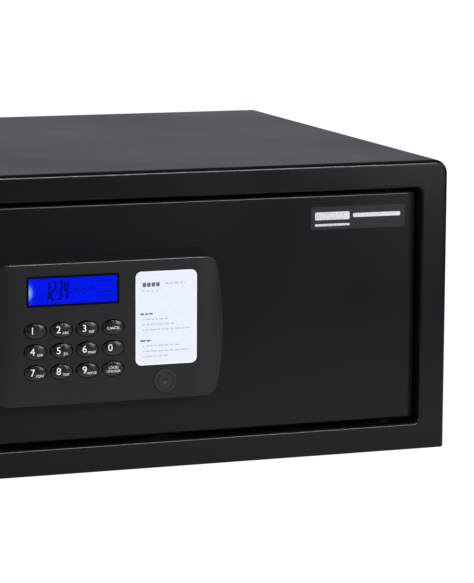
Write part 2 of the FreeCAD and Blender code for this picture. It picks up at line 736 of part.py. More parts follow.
def motor_bracket():
    x0, x1 = BRACKET_X
    z0, z1 = BRACKET_Z
    plate = block(x0, x1, BRACKET_FRONT, BRACKET_BACK, z0, z1)
    leg = block(x0, x1, CHASSIS_BACK, BRACKET_BACK, z0, z0 + 1.5)
    foot = block(x0, x1, CHASSIS_BACK, CHASSIS_BACK + 1.5, z0 - 7, z0 + 1.5)
    hole = rod_y(2.2, BRACKET_FRONT - 1, BRACKET_BACK + 1, PINION_X, PINION_Z)
    return plate.fuse(leg).fuse(foot).cut(hole)


def gear_motor():
    x0 = PINION_X - MOTOR_W / 2
    z0 = PINION_Z - MOTOR_H / 2
    gearbox = block(x0, x0 + MOTOR_W, BRACKET_BACK, GEARBOX_BACK, z0, z0 + MOTOR_H)
    can = rod_y(MOTOR_W / 2, GEARBOX_BACK, MOTOR_BACK, PINION_X, PINION_Z)
    can = can.common(block(x0, x0 + MOTOR_W, GEARBOX_BACK, MOTOR_BACK, z0, z0 + MOTOR_H))
    bore = rod_y(SHAFT_R + 0.05, BRACKET_BACK - 1, BRACKET_BACK + 7, PINION_X, PINION_Z)
    return gearbox.fuse(can).cut(bore)


def bolt_microswitch():
    case = block(-46, -26, CHASSIS_BACK, -165.5, 118, 128)
    lever = block(-49.4, -30, -165.5, -164.9, 120, 126)
    return case.fuse(lever)


# ---------------------------------------------------------------- cover and electrics
def mechanism_cover():
    x0, x1, z0, z1 = COVER
    outer = rounded_block(x0, x1, DOOR_BACK, COVER_BACK, z0, z1, COVER_R)
    outer = outer.makeFillet(2, edges_at(outer, lambda p: p.y > COVER_BACK - 1e-6))
    w = COVER_WALL
    inner = rounded_block(
        x0 + w, x1 - w, DOOR_BACK - 1, COVER_BACK - w, z0 + w, z1 - w, COVER_R - w
    )
    cover = outer.cut(inner)
    for z in BOLT_Z:
        cover = cover.cut(rod_x(BOLT_R + 0.8, x0 - 1, x0 + w + 1, BOLT_Y, z))
    for x in POST_X:
        for z in POST_Z:
            cover = cover.cut(rod_y(2.2, COVER_BACK - 5, COVER_BACK + 1, x, z))
    hx0, hx1, hz0, hz1 = HOLDER
    cover = cover.cut(block(hx0 + 2, hx1 - 2, COVER_BACK - 5, COVER_BACK + 1, hz0 + 2, hz1 - 2))
    lx0, lx1, lz0, lz1 = LID
    for edge, side in ((lx0 - 0.3, -1), (lx1 + 0.3, 1)):
        far = edge + side * 2
        near = edge - side * 1.5
        wall = block(min(edge, far), max(edge, far), COVER_BACK - 1, COVER_BACK + 3.4, lz0, lz1)
        hook = block(min(near, far), max(near, far), COVER_BACK + 2.2, COVER_BACK + 3.4, lz0, lz1)
        cover = cover.fuse(wall).fuse(hook)
    return cover


def cover_standoffs():
    posts = []
    for x in POST_X:
        for z in POST_Z:
            post = hex_y(2 * POST_R, DOOR_BACK, COVER_BACK - COVER_WALL, x, z)
            posts.append(post.cut(rod_y(1.9, COVER_BACK - 14, COVER_BACK, x, z)))
    return Part.makeCompound(posts)


def cover_screws():
    screws = []
    for x in POST_X:
        for z in POST_Z:
            screws.append(pan_screw_y(x, z, COVER_BACK, 3.8, 2, 1.9, COVER_BACK - 12))
    return Part.makeCompound(screws)


def battery_holder():
    x0, x1, z0, z1 = HOLDER
    tray = block(x0, x1, HOLDER_FRONT, HOLDER_BACK, z0, z1)
    tray = tray.cut(block(x0 + 1.2, x1 - 1.2, HOLDER_FRONT + 1.2, HOLDER_BACK + 1, z0 + 1.2, z1 - 1.2))
    feet = []
    for x in (x0 + 6, x1 - 6):
        for z in (z0 + 6, z1 - 6):
            feet.append(rod_y(3, DOOR_BACK, HOLDER_FRONT + 0.6, x, z))
    for foot in feet:
        tray = tray.fuse(foot)
    return tray


def battery_cells():
    cells = []
    z0 = (HOLDER[2] + HOLDER[3]) / 2 - CELL_LEN / 2
    middle = (HOLDER[0] + HOLDER[1]) / 2
    for i in range(4):
        x = middle + (i - 1.5) * CELL_PITCH
        y = (HOLDER_FRONT + HOLDER_BACK) / 2
        can = rod_z(CELL_R, z0, z0 + CELL_LEN - 1.2, x, y)
        tip = rod_z(2.7, z0 + CELL_LEN - 1.2, z0 + CELL_LEN, x, y)
        cell = can.fuse(tip)
        if i % 2:
            cell.rotate(V(x, y, z0 + CELL_LEN / 2), V(0, 1, 0), 180)
        cells.append(cell)
    return Part.makeCompound(cells)


def battery_cover():
    x0, x1, z0, z1 = LID
    lid = block(x0, x1, LID_FRONT, LID_FRONT + LID_T, z0, z1)
    for i in range(5):
        z = z1 - 14 + i * 2.4
        lid = lid.fuse(block(x0 + 20, x1 - 20, LID_FRONT + 1, LID_FRONT + LID_T + 0.7, z, z + 1.1))
    return lid


def control_board():
    x0, x1, z0, z1 = BOARD2
    return block(x0, x1, BOARD2_FRONT, BOARD2_FRONT + 1.6, z0, z1)


def board_components():
    y = BOARD2_FRONT + 1.6
    parts = [
        block(52, 67, y, y + 11, 138, 152),
        block(70, 82, y, y + 2, 140, 152),
        block(52, 68, y, y + 7, 124, 130),
        rod_y(4, y, y + 12, 90, 146),
        rod_y(4, y, y + 12, 90, 132),
        block(72, 80, y, y + 4, 125, 133),
    ]
    return Part.makeCompound(parts)


def board_standoffs():
    posts = []
    for x in (BOARD2[0] + 4, BOARD2[1] - 4):
        for z in (BOARD2[2] + 2.5, BOARD2[3] - 2.5):
            posts.append(rod_y(1.8, DOOR_BACK, BOARD2_FRONT, x, z))
    return Part.makeCompound(posts)


def ribbon_cable():
    """A flat cable from the keypad board, through the slot in the door, to the control board."""
    y_in = BOARD_FRONT + BOARD_T + 0.6
    y_out = BOARD2_FRONT - 1.4
    t = CABLE_T
    path = [(-14, y_in), (32, y_in), (32, y_out), (BOARD2[0] + 2, y_out)]
    back = [(BOARD2[0] + 2, y_out + t), (32 - t, y_out + t), (32 - t, y_in + t), (-14, y_in + t)]
    corners = [V(x, y, CABLE_Z[0]) for x, y in path + back]
    strip = Part.Face(Part.makePolygon(corners + corners[:1]))
    strip = strip.extrude(V(0, 0, CABLE_Z[1] - CABLE_Z[0]))
    plug = block(BOARD2[0], BOARD2[0] + 6, y_out + t, BOARD2_FRONT, CABLE_Z[0], CABLE_Z[1])
    return strip.fuse(plug)


NODES = {
    "body_wrapper": body_wrapper,
    "base_plate": base_plate,
    "rear_panel": rear_panel,
    "front_frame": front_frame,
    "hinge_bushes": hinge_bushes,
    "door_stops": door_stops,
    "stop_pads": stop_pads,
    "floor_mat": floor_mat,
    "door_plate": door_plate,
    "hinge_bracket_lower": lambda: hinge_bracket(DOOR_Z0, DOOR_Z0),
    "hinge_bracket_upper": lambda: hinge_bracket(DOOR_Z1 - EAR_T, DOOR_Z1 - LEAF_LEN),
    "hinge_pins": hinge_pins,
    "door_badge": lambda: thin_plate(BADGE, BADGE_R, DOOR_FRONT - BADGE_T, BADGE_T),
    "keypad_housing": keypad_housing,
    "lcd_window": lcd_window,
    "lcd_module": lcd_module,
    "instruction_label": lambda: thin_plate(LABEL, LABEL_R, PAD_FRONT - LABEL_T, LABEL_T),
    "key_mat": key_mat,
    "keypad_board": keypad_board,
    "housing_screws": housing_screws,
    "override_cap": override_cap,
    "override_cylinder": override_cylinder,
    "cylinder_nut": cylinder_nut,
    "override_plug": override_plug,
    "override_cam": override_cam,
    "cam_screw": cam_screw,
    "lock_chassis": lock_chassis,
    "guide_studs": guide_studs,
    "bolt_carriage": bolt_carriage,
    "locking_bolts": locking_bolts,
    "bolt_screws": bolt_screws,
    "bolt_rack": bolt_rack,
    "drive_pinion": drive_pinion,
    "motor_shaft": motor_shaft,
    "motor_bracket": motor_bracket,
    "gear_motor": gear_motor,
    "bolt_microswitch": bolt_microswitch,
    "mechanism_cover": mechanism_cover,
    "cover_standoffs": cover_standoffs,
    "cover_screws": cover_screws,
    "battery_holder": battery_holder,
    "battery_cells": battery_cells,
    "battery_cover": battery_cover,
    "control_board": control_board,
    "board_components": board_components,
    "board_standoffs": board_standoffs,
    "ribbon_cable": ribbon_cable,
}

os.makedirs("parts", exist_ok=True)
for node, make in NODES.items():
    save(node, make())
for node, key_x, key_z in key_centres():
    save(node, key(key_x, key_z))
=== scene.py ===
"""Looks of the in-room safe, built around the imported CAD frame. Metres, same frame as the CAD."""
import json
import math
import random

import bmesh
import bpy
from mathutils import Matrix, Vector


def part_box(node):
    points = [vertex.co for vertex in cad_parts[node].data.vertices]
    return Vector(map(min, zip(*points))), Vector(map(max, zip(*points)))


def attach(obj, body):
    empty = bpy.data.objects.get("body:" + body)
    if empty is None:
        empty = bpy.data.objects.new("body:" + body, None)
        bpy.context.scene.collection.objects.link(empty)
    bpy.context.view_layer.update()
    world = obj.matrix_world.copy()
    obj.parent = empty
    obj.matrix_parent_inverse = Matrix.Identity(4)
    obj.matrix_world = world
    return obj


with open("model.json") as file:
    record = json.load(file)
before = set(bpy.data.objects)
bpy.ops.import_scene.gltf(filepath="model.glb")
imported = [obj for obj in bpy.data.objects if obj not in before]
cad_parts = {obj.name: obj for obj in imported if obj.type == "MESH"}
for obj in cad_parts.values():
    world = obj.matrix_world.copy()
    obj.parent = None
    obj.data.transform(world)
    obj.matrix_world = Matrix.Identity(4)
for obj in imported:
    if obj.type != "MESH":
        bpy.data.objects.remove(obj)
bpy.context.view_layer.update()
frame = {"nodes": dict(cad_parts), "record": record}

NODES = frame["nodes"]
MM = 0.001

HOUSING_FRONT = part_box("keypad_housing")[0].y
WINDOW_LOW, WINDOW_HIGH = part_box("lcd_window")
LABEL_LOW, LABEL_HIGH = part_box("instruction_label")
BADGE_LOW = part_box("door_badge")[0]

WHITE = (1.0, 1.0, 1.0)

# ---------------------------------------------------------------- node helpers
SOCKETS = {
    "color": "Base Color",
    "metal": "Metallic",
    "rough": "Roughness",
    "spec": "Specular IOR Level",
    "coat": "Coat Weight",
    "sheen": "Sheen Weight",
    "glow": "Emission Strength",
    "glow_color": "Emission Color",
}


class Tree:
    """A short way to build one material's nodes."""

    def __init__(self, name):
        self.mat = bpy.data.materials.new(name)
        self.mat.use_nodes = True
        self.nodes = self.mat.node_tree.nodes
        self.links = self.mat.node_tree.links
        self.nodes.clear()
        out = self.nodes.new("ShaderNodeOutputMaterial")
        self.shader = self.nodes.new("ShaderNodeBsdfPrincipled")
        self.join(self.shader, "BSDF", out, "Surface")
        self.coord = self.nodes.new("ShaderNodeTexCoord")

    def join(self, a, out, b, into):
        """Link an output of node a to an input of node b."""
        self.links.new(a.outputs[out], b.inputs[into])

    def set(self, **values):
        """Give the shader's own sockets plain values."""
        for key, value in values.items():
            if key.endswith("color"):
                value = (*value, 1.0)
            self.shader.inputs[SOCKETS[key]].default_value = value

    def scaled(self, axes):
        """Object coordinates times three numbers, which makes a pattern that much finer along x, y and z."""
        mapping = self.nodes.new("ShaderNodeMapping")
        mapping.inputs["Scale"].default_value = axes
        self.join(self.coord, "Object", mapping, "Vector")
        return mapping

    def noise(self, scale, detail=3.0, axes=None, rough=0.5):
        """Cloudy noise; axes makes it finer or coarser along each axis."""
        n = self.nodes.new("ShaderNodeTexNoise")
        n.inputs["Scale"].default_value = scale
        n.inputs["Detail"].default_value = detail
        n.inputs["Roughness"].default_value = rough
        if axes:
            self.join(self.scaled(axes), "Vector", n, "Vector")
        else:
            self.join(self.coord, "Object", n, "Vector")
        return n

    def flow_marks(self):
        """Slow streaks, as molten plastic leaves them."""
        return self.noise(14.0, 3.0, (1.0, 1.0, 3.0))

    def cells(self, scale):
        """Small cells that touch, for an eroded texture."""
        n = self.nodes.new("ShaderNodeTexVoronoi")
        n.inputs["Scale"].default_value = scale
        self.join(self.coord, "Object", n, "Vector")
        return n

    def ball(self, centre, radii):
        """A soft ball of value 1 at its centre, falling to 0 at its radii."""
        space = self.nodes.new("ShaderNodeMapping")
        space.vector_type = "TEXTURE"
        space.inputs["Location"].default_value = centre
        space.inputs["Scale"].default_value = radii
        self.join(self.coord, "Object", space, "Vector")
        gradient = self.nodes.new("ShaderNodeTexGradient")
        gradient.gradient_type = "SPHERICAL"
        self.join(space, "Vector", gradient, "Vector")
        return gradient

    def ramp(self, source, output, low, high, a, b):
        """A two-stop colour ramp from a to b between positions low and high."""
        r = self.nodes.new("ShaderNodeValToRGB")
        r.color_ramp.elements[0].position = low
        r.color_ramp.elements[1].position = high
        r.color_ramp.elements[0].color = (*a, 1.0)
        r.color_ramp.elements[1].color = (*b, 1.0)
        self.join(source, output, r, "Fac")
        return r

    def span(self, source, output, low, high, a, b):
        """Map a value from low..high to a..b."""
        m = self.nodes.new("ShaderNodeMapRange")
        m.inputs["From Min"].default_value = low
        m.inputs["From Max"].default_value = high
        m.inputs["To Min"].default_value = a
        m.inputs["To Max"].default_value = b
        self.join(source, output, m, "Value")
        return m

    def tint(self, source, low, high, a, b):
        """Let a noise drive the base colour from a to b."""
        self.join(self.ramp(source, "Fac", low, high, a, b), "Color", self.shader, "Base Color")

    def roughen(self, source, low, high, a, b, output="Fac"):
        """Let a value drive the roughness from a to b."""
        self.join(self.span(source, output, low, high, a, b), "Result", self.shader, "Roughness")

    def bump(self, source, output, distance, strength=1.0, under=None):
        """Raise the surface by a pattern, on top of the bump given as under."""
        b = self.nodes.new("ShaderNodeBump")
        b.inputs["Distance"].default_value = distance
        b.inputs["Strength"].default_value = strength
        self.join(source, output, b, "Height")
        if under:
            self.join(under, "Normal", b, "Normal")
        self.join(b, "Normal", self.shader, "Normal")
        return b


def shade(color, factor):
    """A colour made darker or lighter by a factor."""
    return tuple(min(1.0, c * factor) for c in color)


# ---------------------------------------------------------------- kinds of material
PAINT = (0.0040, 0.0036, 0.0052)
HOUSING = (0.0066, 0.0062, 0.0082)
SIDE_ROUGH = 0.7
# how much darker the housing's side walls are coloured: painted shade, not the plastic's own tone
PAINTED_SIDE_SHADE = 0.2
DISPLAY_BLACK = (0.0, 0.001, 0.02)


def powder_coat(name, color, rough=0.22, grain=1500.0):
    """Fine textured powder coat: pebbled bump, a little speckle and slow drifts of gloss."""
    depth = 0.02 * MM
    t = Tree(name)
    t.set(spec=0.25)
    t.tint(t.noise(grain * 1.3, 2.0), 0.35, 0.75, shade(color, 0.8), shade(color, 1.5))
    t.roughen(t.noise(9.0), 0.3, 0.7, rough - 0.03, rough + 0.04)
    pebbles = t.bump(t.noise(grain), "Fac", depth)
    t.bump(t.noise(grain / 2.5, 2.0), "Fac", depth * 1.2, under=pebbles)
    return t.mat


def moulded(name, color, rough=0.5, grain=2600.0, depth=0.03 * MM, spec=0.5):
    """Spark-eroded plastic: tiny cells and faint flow marks."""
    t = Tree(name)
    t.set(spec=spec)
    t.tint(t.flow_marks(), 0.3, 0.7, shade(color, 0.9), shade(color, 1.12))
    t.roughen(t.noise(grain * 0.4, 2.0), 0.3, 0.7, rough - 0.04, rough + 0.05)
    t.bump(t.cells(grain), "Distance", depth)
    return t.mat


def housing_plastic(name, rough, spec):
    """Moulded housing: a satin front, and duller side walls whose colour is darkened as painted shade."""
    t = Tree(name)
    t.set(spec=spec)
    facing = t.nodes.new("ShaderNodeSeparateXYZ")
    t.join(t.coord, "Normal", facing, "Vector")
    front = t.span(facing, "Y", -0.45, -0.75, 0.0, 1.0)
    tone = t.ramp(t.flow_marks(), "Fac", 0.3, 0.7, shade(HOUSING, 0.9), shade(HOUSING, 1.12))
    # the side walls get a darker base colour by which way they face: painted shade
    painted_wall_shade = t.nodes.new("ShaderNodeMix")
    painted_wall_shade.data_type = "RGBA"
    painted_wall_shade.inputs["A"].default_value = (*shade(HOUSING, PAINTED_SIDE_SHADE), 1.0)
    t.join(front, "Result", painted_wall_shade, "Factor")
    t.join(tone, "Color", painted_wall_shade, "B")
    t.join(painted_wall_shade, "Result", t.shader, "Base Color")
    t.roughen(front, 0.0, 1.0, SIDE_ROUGH, rough, "Result")
    t.bump(t.cells(2600.0), "Distance", 0.01 * MM)
    return t.mat


def gloss_plastic(name, color, rough, spec=0.5):
    """Polished plastic with light wear, which dulls and lightens it in spots."""
    t = Tree(name)
    t.set(spec=spec)
    wear = t.noise(420.0, 4.0)
    t.roughen(wear, 0.35, 0.75, rough, rough + 0.12)
    t.tint(wear, 0.4, 0.9, color, shade(color, 1.8))
    t.bump(t.noise(260.0, 2.0), "Fac", 0.02 * MM)
    return t.mat


def metal(name, color, rough, axes=(1.0, 1.0, 1.0), grain=900.0, depth=0.01 * MM):
    """Bare or plated metal; an axis number above 1 makes the grain run across that axis."""
    t = Tree(name)
    t.set(metal=1.0)
    lines = t.noise(grain, 4.0, axes, 0.6)
    t.tint(lines, 0.3, 0.7, shade(color, 0.82), shade(color, 1.1))
    t.roughen(lines, 0.3, 0.7, rough - 0.07, rough + 0.1)
    t.bump(lines, "Fac", depth)
    return t.mat


def felt(name, color):
    """Needle felt: fuzzy and dull, with its fibres drawn out along y."""
    t = Tree(name)
    t.set(sheen=0.4, spec=0.2)
    fibres = t.noise(1800.0, 4.0, (1.0, 0.35, 1.0), 0.7)
    t.tint(fibres, 0.3, 0.75, shade(color, 0.6), shade(color, 1.9))
    t.roughen(fibres, 0.0, 1.0, 0.88, 0.98)
    t.bump(fibres, "Fac", 0.6 * MM)
    return t.mat


def circuit(name, color):
    """Solder mask with faint tracks under it."""
    t = Tree(name)
    t.set(rough=0.35, spec=0.5, coat=0.3)
    turn = t.nodes.new("ShaderNodeMapping")
    turn.inputs["Rotation"].default_value = (math.pi / 2, 0.0, 0.0)
    t.join(t.coord, "Object", turn, "Vector")
    tracks = t.nodes.new("ShaderNodeTexBrick")
    tracks.inputs["Scale"].default_value = 150.0
    tracks.inputs["Mortar Size"].default_value = 0.06
    tracks.inputs["Color1"].default_value = (*color, 1.0)
    tracks.inputs["Color2"].default_value = (*shade(color, 0.85), 1.0)
    tracks.inputs["Mortar"].default_value = (*shade(color, 1.9), 1.0)
    t.join(turn, "Vector", tracks, "Vector")
    t.join(tracks, "Color", t.shader, "Base Color")
    t.bump(tracks, "Fac", 0.03 * MM, strength=-1.0)
    return t.mat


def printed_film(name, dark, light):
    """Satin label film, very slightly uneven."""
    t = Tree(name)
    t.set(spec=0.45)
    paper = t.noise(500.0)
    t.tint(paper, 0.3, 0.7, dark, light)
    t.roughen(paper, 0.3, 0.7, 0.35, 0.45)
    t.bump(paper, "Fac", 0.01 * MM)
    return t.mat


def backlight(name):
    """Blue backlit pane: even blue, with the lamp's pale spot at the left end."""
    t = Tree(name)
    t.set(color=DISPLAY_BLACK, rough=0.3, spec=0.03)
    middle_z = (WINDOW_LOW.z + WINDOW_HIGH.z) / 2
    lamp_at = (WINDOW_LOW.x + 0.6 * MM, WINDOW_LOW.y, middle_z - 0.6 * MM)
    lamp = t.ball(lamp_at, (4.4 * MM, 1.0, 8.5 * MM))
    glow = t.ramp(lamp, "Color", 0.0, 1.0, (0.0, 0.008, 0.82), (0.32, 0.52, 0.95))
    halo = glow.color_ramp.elements.new(0.35)
    halo.color = (0.01, 0.04, 0.85, 1.0)
    t.join(glow, "Color", t.shader, "Emission Color")
    dim = t.span(t.noise(120.0, 2.0), "Fac", 0.3, 0.7, 0.92, 1.0)
    t.join(dim, "Result", t.shader, "Emission Strength")
    return t.mat


def ink(name, color, rough=0.5, glow=0.0, glow_color=WHITE, spec=0.5):
    """Printed ink or a display's segment, which can glow by itself: real behind a backlit display, painted
    light on plain print.
    """
    t = Tree(name)
    t.set(rough=rough, spec=spec, glow=glow, glow_color=glow_color)
    t.tint(t.noise(3000.0, 2.0), 0.3, 0.7, shade(color, 0.9), shade(color, 1.08))
    return t.mat


# ---------------------------------------------------------------- materials of the CAD's nodes
MATS = {
    "body_paint": powder_coat("charcoal_powder_coat", PAINT),
    "pad_plastic": housing_plastic("keypad_plastic", 0.30, 0.42),
    "key_plastic": gloss_plastic("key_gloss", (0.002, 0.0018, 0.0028), 0.17, 0.75),
    "display_pane": backlight("display_backlight"),
    "display_module": moulded("display_body", (0.02, 0.02, 0.022)),
    "label_film": printed_film("label_film", (0.72, 0.78, 0.84), (0.755, 0.815, 0.88)),
    "badge_metal": powder_coat("badge_plate", (0.013, 0.013, 0.016), 0.36, 2400.0),
    "rubber": moulded("black_rubber", (0.016, 0.016, 0.017), 0.75, 1400.0, 0.06 * MM, 0.3),
    "felt": felt("needle_felt", (0.028, 0.028, 0.033)),
    "nylon": moulded("black_nylon", (0.003, 0.003, 0.0035), 0.5, 1800.0, 0.03 * MM, 0.06),
    "zinc_steel": metal("zinc_plate", (0.56, 0.57, 0.56), 0.34, grain=160.0, depth=0.02 * MM),
    "pin_steel": metal("blackened_steel", (0.02, 0.02, 0.023), 0.45, (1.0, 1.0, 12.0)),
    "chrome": metal("chrome_plate", (0.78, 0.79, 0.81), 0.12, (12.0, 1.0, 1.0)),
    "brass": metal("turned_brass", (0.66, 0.48, 0.2), 0.27, (1.0, 12.0, 1.0)),
    "circuit_board": circuit("solder_mask", (0.012, 0.09, 0.03)),
    "motor_metal": metal("motor_can", (0.5, 0.5, 0.51), 0.3, (1.0, 8.0, 1.0)),
    "switch_plastic": moulded("switch_plastic", (0.022, 0.022, 0.025), 0.48),
    "cover_plastic": moulded("grained_cover", (0.03, 0.031, 0.035), 0.55, 900.0, 0.1 * MM),
    "cell_wrap": gloss_plastic("cell_wrap", (0.03, 0.06, 0.16), 0.25),
    "cable_grey": moulded("ribbon_grey", (0.32, 0.32, 0.34), 0.45),
}
# the cap's side walls get the same painted shade as the housing's
CAP_PLASTIC = housing_plastic("cap_plastic", 0.5, 0.40)

RECORD_SLOTS = {s["node"]: s["material_slot"] for s in frame["record"]["subparts"]}
for node, obj in NODES.items():
    obj.data.materials.clear()
    obj.data.materials.append(CAP_PLASTIC if node == "override_cap" else MATS[RECORD_SLOTS[node]])

# ---------------------------------------------------------------- inks and trims
# the key legends glow faintly by themselves: painted light that makes the print brighter than the lamps do
GLOWING_WHITE_INK = ink("white_legend_glowing", (0.85, 0.86, 0.88), 0.45, 0.06)
LCD_INK = ink("lcd_segment", DISPLAY_BLACK, 0.6, 1.0, (0.0, 0.001, 0.11), 0.0)
LCD_FAINT = ink("lcd_faint_segment", DISPLAY_BLACK, 0.6, 1.0, (0.0, 0.005, 0.52), 0.0)
BEZEL = moulded("display_bezel", (0.0008, 0.0008, 0.002), 0.7, spec=0.05)
GREY_INK = ink("label_grey", (0.50, 0.54, 0.62))
DARK_INK = ink("label_dark", (0.10, 0.11, 0.13))
RIM_INK = ink("label_rim", (0.86, 0.88, 0.92), 0.4)
SILVER = metal("badge_silver", (0.74, 0.75, 0.78), 0.3, (1.0, 1.0, 6.0), 600.0)

# ---------------------------------------------------------------- mesh helpers


def add_mesh(name, bm, mat, body):
    """Turn a bmesh into a piece of the model that rides on a body."""
    data = bpy.data.meshes.new(name)
    bm.normal_update()
    bm.to_mesh(data)
    bm.free()
    obj = bpy.data.objects.new(name, data)
    bpy.context.scene.collection.objects.link(obj)
    data.materials.append(mat)
    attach(obj, body)


def slab(bm, outline, y_front, thickness):
    """Add a plate whose face is a closed outline of (x, z) points."""
    front = [bm.verts.new((x, y_front, z)) for x, z in outline]
    back = [bm.verts.new((x, y_front + thickness, z)) for x, z in outline]
    bm.faces.new(front)
    bm.faces.new(back[::-1])
    n = len(outline)
    for i in range(n):
        j = (i + 1) % n
        bm.faces.new((front[j], front[i], back[i], back[j]))


def rounded(x0, x1, z0, z1, r, steps=6):
    """Rounded rectangle as (x, z) points."""
    points = []
    for cx, cz, start in (
        (x1 - r, z1 - r, 0.0),
        (x0 + r, z1 - r, 90.0),
        (x0 + r, z0 + r, 180.0),
        (x1 - r, z0 + r, 270.0),
    ):
        for i in range(steps + 1):
            a = math.radians(start + 90.0 * i / steps)
            points.append((cx + r * math.cos(a), cz + r * math.sin(a)))
    return points


def small_bar(x, z, width, height, r):
    """Outline of a small bar whose lower left corner is (x, z)."""
    return rounded(x, x + width, z, z + height, r, 2)


def around(low, high, margin, r):
    """Outline of a box's front, grown by a margin, with rounded corners."""
    return rounded(low.x - margin, high.x + margin, low.z - margin, high.z + margin, r)


def ring_slab(bm, outer, inner, y_front, thickness):
    """Add a flat ring between two outlines that have the same number of points."""
    loops = []
    for outline, y in (
        (outer, y_front),
        (inner, y_front),
        (inner, y_front + thickness),
        (outer, y_front + thickness),
    ):
        loops.append([bm.verts.new((x, y, z)) for x, z in outline])
    n = len(outer)
    for k in range(4):
        a, b = loops[k], loops[(k + 1) % 4]
        for i in range(n):
            j = (i + 1) % n
            bm.faces.new((a[i], a[j], b[j], b[i]))


# ---------------------------------------------------------------- key legends
# the radius of the keys' domes, as in the CAD
DOME_R = 25.0 * MM
LEGEND_HALF_T = 0.02 * MM
LEGEND_PROUD = 0.03 * MM
LONGEST_EDGE = 1.2 * MM
DIGIT_SIZE, DIGIT_X, DIGIT_Z = 6.6 * MM, -2.2 * MM, 0.2 * MM
LETTER_SIZE, LETTER_X, LETTER_Z = 2.3 * MM, 2.7 * MM, -1.9 * MM
WORD_SIZE, WORD_WIDTH = 2.4 * MM, 0.95
LEGENDS = {
    "key_1": ("1", ""), "key_2": ("2", "ABC"), "key_3": ("3", "DEF"),
    "key_4": ("4", "GHI"), "key_5": ("5", "JKL"), "key_6": ("6", "MNO"),
    "key_7": ("7", "PQRS"), "key_8": ("8", "TUV"), "key_9": ("9", "WXYZ"),
    "key_0": ("0", ""),
}


def text_mesh(text, size):
    """The built-in font's glyphs as a thin mesh in the XZ plane, centred on the origin."""
    curve = bpy.data.curves.new("glyphs", "FONT")
    curve.body = text
    curve.size = size
    curve.align_x = "CENTER"
    curve.align_y = "CENTER"
    curve.extrude = LEGEND_HALF_T
    curve.resolution_u = 3
    temp = bpy.data.objects.new("glyphs", curve)
    bpy.context.scene.collection.objects.link(temp)
    dg = bpy.context.evaluated_depsgraph_get()
    mesh = bpy.data.meshes.new_from_object(temp.evaluated_get(dg))
    bpy.data.objects.remove(temp)
    bpy.data.curves.remove(curve)
    mesh.transform(Matrix.Rotation(math.pi / 2, 4, "X"))
    return mesh


def split_long_edges(mesh):
    """Give long edges more points, so that they can follow a dome."""
    bm = bmesh.new()
    bm.from_mesh(mesh)
    long_edges = [e for e in bm.edges if e.calc_length() > LONGEST_EDGE]
    bmesh.ops.subdivide_edges(bm, edges=long_edges, cuts=2)
    bm.to_mesh(mesh)
    bm.free()


def on_dome(mesh, centre, top, offset_x, offset_z):
    """Lay a flat legend on a key's dome, a hair proud of it."""
    for v in mesh.vertices:
        dx = v.co.x + offset_x
        dz = v.co.z + offset_z
        drop = DOME_R - math.sqrt(DOME_R ** 2 - dx ** 2 - dz ** 2)
        v.co = Vector((centre.x + dx, top + drop + v.co.y - LEGEND_PROUD, centre.z + dz))


def legend(key, pieces):
    """Print a key; each piece is (text, size, x offset, z offset, width factor)."""
    low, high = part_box(key)
    centre = (low + high) / 2
    bm = bmesh.new()
    for text, size, dx, dz, width in pieces:
        mesh = text_mesh(text, size)
        mesh.transform(Matrix.Diagonal((width, 1.0, 1.0, 1.0)))
        split_long_edges(mesh)
        on_dome(mesh, centre, low.y, dx, dz)
        bm.from_mesh(mesh)
        bpy.data.meshes.remove(mesh)
    add_mesh(key + "_legend", bm, GLOWING_WHITE_INK, key)


for key, (digit, letters) in LEGENDS.items():
    marks = [(digit, DIGIT_SIZE, DIGIT_X, DIGIT_Z, 1.0)]
    if letters:
        marks.append((letters, LETTER_SIZE, LETTER_X, LETTER_Z, 1.0))
    legend(key, marks)
legend("key_cancel", [("CANCEL", 2.5 * MM, 0.0, -0.4 * MM, WORD_WIDTH)])
legend("key_lock", [
    ("LOCK/", WORD_SIZE, 0.0, 0.9 * MM, WORD_WIDTH),
    ("UNLOCK", WORD_SIZE, 0.0, -1.5 * MM, WORD_WIDTH),
])

# ---------------------------------------------------------------- display
GLASS_Y = WINDOW_LOW.y - 0.06 * MM
INK_T = 0.05 * MM
FIRST_DIGIT_X = WINDOW_LOW.x + 10.4 * MM
DIGITS_Z = WINDOW_LOW.z + 2.8 * MM
SEGMENT_W = 3.5 * MM
SEGMENT_H = 12.6 * MM
STROKE = 1.1 * MM
SLANT = 0.08
DIGIT_PITCH = 4.25 * MM
SEGMENTS = {"1": "bc", "2": "abged", "3": "abgcd", "4": "fgbc"}
# a bar's height, and 1 or -1 where the stroke stays below or above it
BARS = {"a": (SEGMENT_H, 1), "g": (SEGMENT_H / 2, 0), "d": (0.0, -1)}
# a post's side and the height where it starts
POSTS = {
    "f": (0.0, SEGMENT_H / 2), "b": (SEGMENT_W, SEGMENT_H / 2),
    "e": (0.0, 0.0), "c": (SEGMENT_W, 0.0),
}
DASH_X = WINDOW_LOW.x + 31.5 * MM
DASH_Z = WINDOW_LOW.z + 9.3 * MM
DASH_PITCH = 4.8 * MM
# height of a row of faint icons over the window's lower edge, and where they start, in millimetres
ICON_ROWS = (
    (13.6, (46.8, 49.4, 52.0, 54.6)),
    (6.4, (47.4, 50.0, 52.6, 55.2)),
    (3.9, (46.4, 49.0, 51.6, 54.2)),
    (3.6, (2.2, 4.0)),
)


